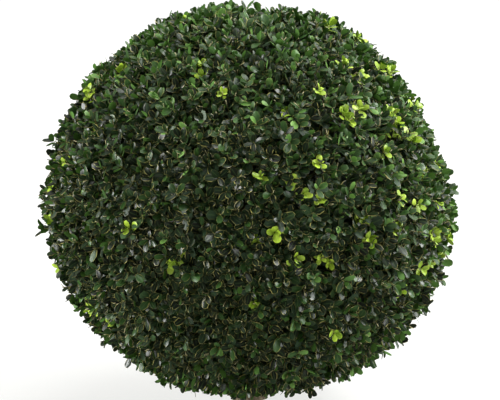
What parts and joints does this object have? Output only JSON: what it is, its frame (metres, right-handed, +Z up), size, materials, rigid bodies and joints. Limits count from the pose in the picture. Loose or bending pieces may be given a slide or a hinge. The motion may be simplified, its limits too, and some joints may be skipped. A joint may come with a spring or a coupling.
{
  "type": "box topiary ball",
  "caption": "Clipped evergreen shrub grown as one dense round ball of small leaves on a short stem, rooted in level ground.",
  "frame": {"origin": "centre of the flat cut under the stem, at ground level", "axes": "+Z up; the face seen from the front looks towards -Y, with +X to its right; the ball is widest along X"},
  "size_m": [0.6018, 0.5922, 0.5797],
  "materials": {
    "bark": "rough pale bark, finely cracked",
    "foliage": "glossy dark green leaves with pale rims and some lime young shoots"
  },
  "bodies": {
    "root": {"stem": "bark", "foliage_ball": "foliage"}
  },
  "joints": []
}
